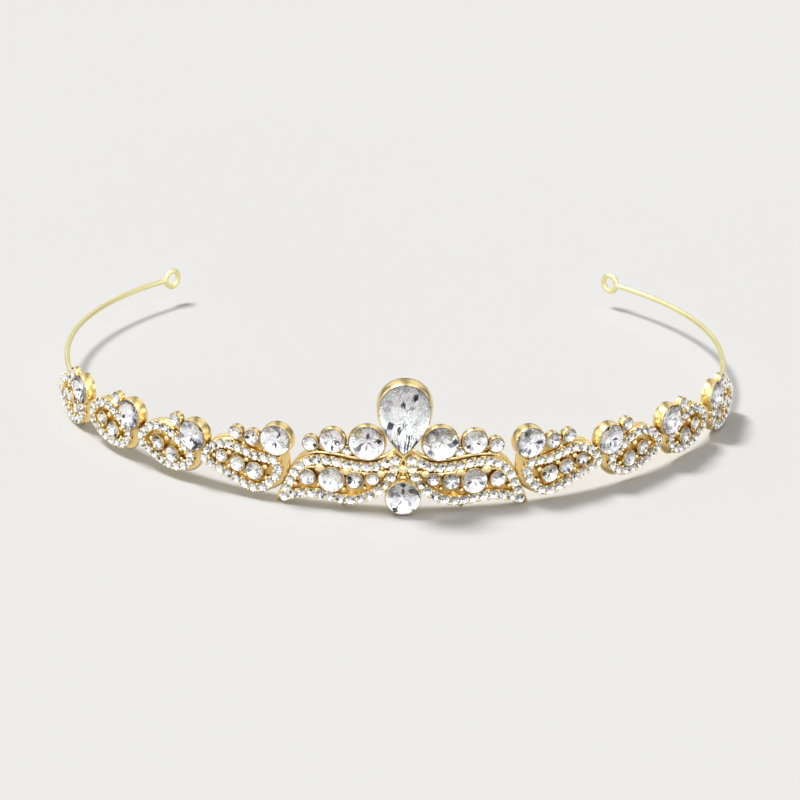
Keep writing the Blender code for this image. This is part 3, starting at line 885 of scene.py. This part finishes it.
def tube_shape(name, points, closed=False):
    curve = bpy.data.curves.new(name, "CURVE")
    curve.dimensions = "3D"
    curve.bevel_depth = WIRE_RADIUS * MM
    curve.bevel_resolution = 5
    curve.use_fill_caps = True
    line = curve.splines.new("POLY")
    line.points.add(len(points) - 1)
    for knot, point in zip(line.points, points):
        knot.co = (*point, 1.0)
    line.use_cyclic_u = closed
    item = bpy.data.objects.new(name, curve)
    bpy.context.scene.collection.objects.link(item)
    bpy.context.view_layer.update()
    mesh = bpy.data.meshes.new_from_object(item.evaluated_get(bpy.context.evaluated_depsgraph_get()))
    bpy.data.objects.remove(item, do_unlink=True)
    shape = bmesh.new()
    shape.from_mesh(mesh)
    bmesh.ops.remove_doubles(shape, verts=shape.verts, dist=0.005 * MM)
    return shape


def arc_points(first, last, step=1.5):
    count = round(abs(last - first) * WIRE_PLAN_RADIUS / step)
    return [wire_point(first + (last - first) * k / count) for k in range(count + 1)]


def add_wires(finishes):
    name = "band_wire_satin"
    front = finished_mesh(tube_shape(name, arc_points(-HINGE_ANGLE, HINGE_ANGLE)), name)
    band = add_piece(name, front, [finishes["wire"]])
    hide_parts("band_wire")
    for side_name, side in SIDES.items():
        points = arc_points(side * HINGE_ANGLE, side * ARM_END_ANGLE)
        shape = tube_shape("arm", points)
        along = (points[-1] - points[-2]).normalized()
        upward = Vector((0.0, 0.0, 1.0))
        middle = points[-1] + along * EYE_RADIUS * MM
        ring = [middle + (along * math.cos(t) + upward * math.sin(t)) * EYE_RADIUS * MM
                for t in (2.0 * math.pi * k / 40 for k in range(40))]
        eye = finished_mesh(tube_shape("eye", ring, closed=True), "eye")
        shape.from_mesh(eye)
        name = f"arm_wire_{side_name}_satin"
        arm = add_piece(name, finished_mesh(shape, name), [finishes["wire"]], body=None)
        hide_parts(f"arm_wire_{side_name}")
        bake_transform(arm)


# Studio

def add_studio():
    shape = bmesh.new()
    bmesh.ops.create_circle(shape, cap_ends=True, segments=96, radius=3.0)
    floor = bpy.data.objects.new("floor", finished_mesh(shape, "floor"))
    floor.data.materials.append(floor_material())
    bpy.context.scene.collection.objects.link(floor)
    floor.location.z = -0.02 * MM
    sun = bpy.data.lights.new("key_light", "SUN")
    sun.energy = 2.2
    sun.angle = math.radians(17.0)
    key = bpy.data.objects.new("key_light", sun)
    key.rotation_euler = Vector((0.42, -0.12, -0.90)).to_track_quat("-Z", "Y").to_euler()
    bpy.context.scene.collection.objects.link(key)


def add_surroundings():
    """A pale backdrop to the eye; in reflections a studio with bright panels and dim gaps."""
    world = bpy.data.worlds.new("studio")
    bpy.context.scene.world = world
    world.use_nodes = True
    tree = world.node_tree
    shader = tree.nodes["Background"]
    direction = tree.nodes.new("ShaderNodeTexCoord").outputs["Generated"]
    parts = tree.nodes.new("ShaderNodeSeparateXYZ")
    tree.links.new(direction, parts.inputs[0])
    height = tree.nodes.new("ShaderNodeValToRGB")
    stops = [(0.0, 1.0), (0.47, 1.0), (0.52, 0.35), (0.58, 1.15), (0.70, 1.85), (1.0, 1.6)]
    elements = height.color_ramp.elements
    while len(elements) < len(stops):
        elements.new(0.5)
    for element, (place, level) in zip(elements, stops):
        element.position = place
        element.color = (level, level, level, 1.0)
    lift = spread(tree, parts.outputs["Z"], -1.0, 1.0)
    tree.links.new(lift, height.inputs["Fac"])
    panels = tree.nodes.new("ShaderNodeTexWave")
    panels.inputs["Scale"].default_value = 0.45
    panels.inputs["Distortion"].default_value = 3.0
    tree.links.new(direction, panels.inputs["Vector"])
    strips = spread(tree, panels.outputs["Fac"], 0.1, 0.5, 0.35, 1.25)
    facing = spread(tree, parts.outputs["Y"], -0.35, 0.35, 1.15, 0.5)
    reflected = multiplied(tree, multiplied(tree, height.outputs["Color"], strips), facing)
    ray = tree.nodes.new("ShaderNodeLightPath")
    soft = mixed_colour(tree, ray.outputs["Is Diffuse Ray"], reflected, (0.35, 0.349, 0.344, 1.0))
    seen = mixed_colour(tree, ray.outputs["Is Camera Ray"], soft, (0.855, 0.847, 0.831, 1.0))
    tree.links.new(seen, shader.inputs["Color"])
    shader.inputs["Strength"].default_value = 1.0


def build():
    set_up_camera()
    bpy.context.scene.view_settings.view_transform = "Standard"
    plating = make_plating_group()
    finishes = {
        # cast gold: plate colour, then painted shade colour for hollows, then painted highlight colour for
        # edges
        "gold": gold_material("cast_gold", plating, (0.82, 0.605, 0.24), (0.40, 0.205, 0.04),
                              (0.96, 0.82, 0.48), 0.2, 0.05),
        # satin wire: the same painted shade in hollows and painted highlight on edges, in paler colours
        "wire": gold_material("satin_wire", plating, (0.86, 0.78, 0.38), (0.74, 0.60, 0.26),
                              (0.92, 0.86, 0.52), 0.36, 0.02),
        "stone": [crystal_material(), foil_material()],
    }
    templates = {
        "collar": turned_template("collar", [(0.78, 0.9), (1.0, 0.9), (1.01, PAVE_DEPTH - 0.2),
                                             (0.97, PAVE_DEPTH - 0.08), (0.9, PAVE_DEPTH - 0.08),
                                             (0.82, PAVE_DEPTH - 0.2)], 20),
        "bead": bead_template("bead", 0.8),
        "pave_stone": cut_stone("pave_stone", PAVE_DIAMETER / 2.0, 6, 2, 21),
    }
    nodes = sorted(frame["nodes"])
    add_centre(nodes, templates, finishes)
    add_leaves(nodes, templates, finishes)
    for seed, node in enumerate(node for node in nodes if "_crystal_" in node):
        arc, height, diameter = place_of(node)
        sides, rows = (12, 4) if diameter > LARGE_STONE else (8, 2)
        mesh = cut_stone(node, diameter / 2.0 + STONE_OVERLAP, sides, rows, seed)
        add_stone(node, arc, height, stone_depth(diameter), mesh, finishes["stone"], turn=seed * 0.7)
    add_pear(finishes)
    add_drop(finishes)
    add_wires(finishes)
    add_studio()
    add_surroundings()


build()
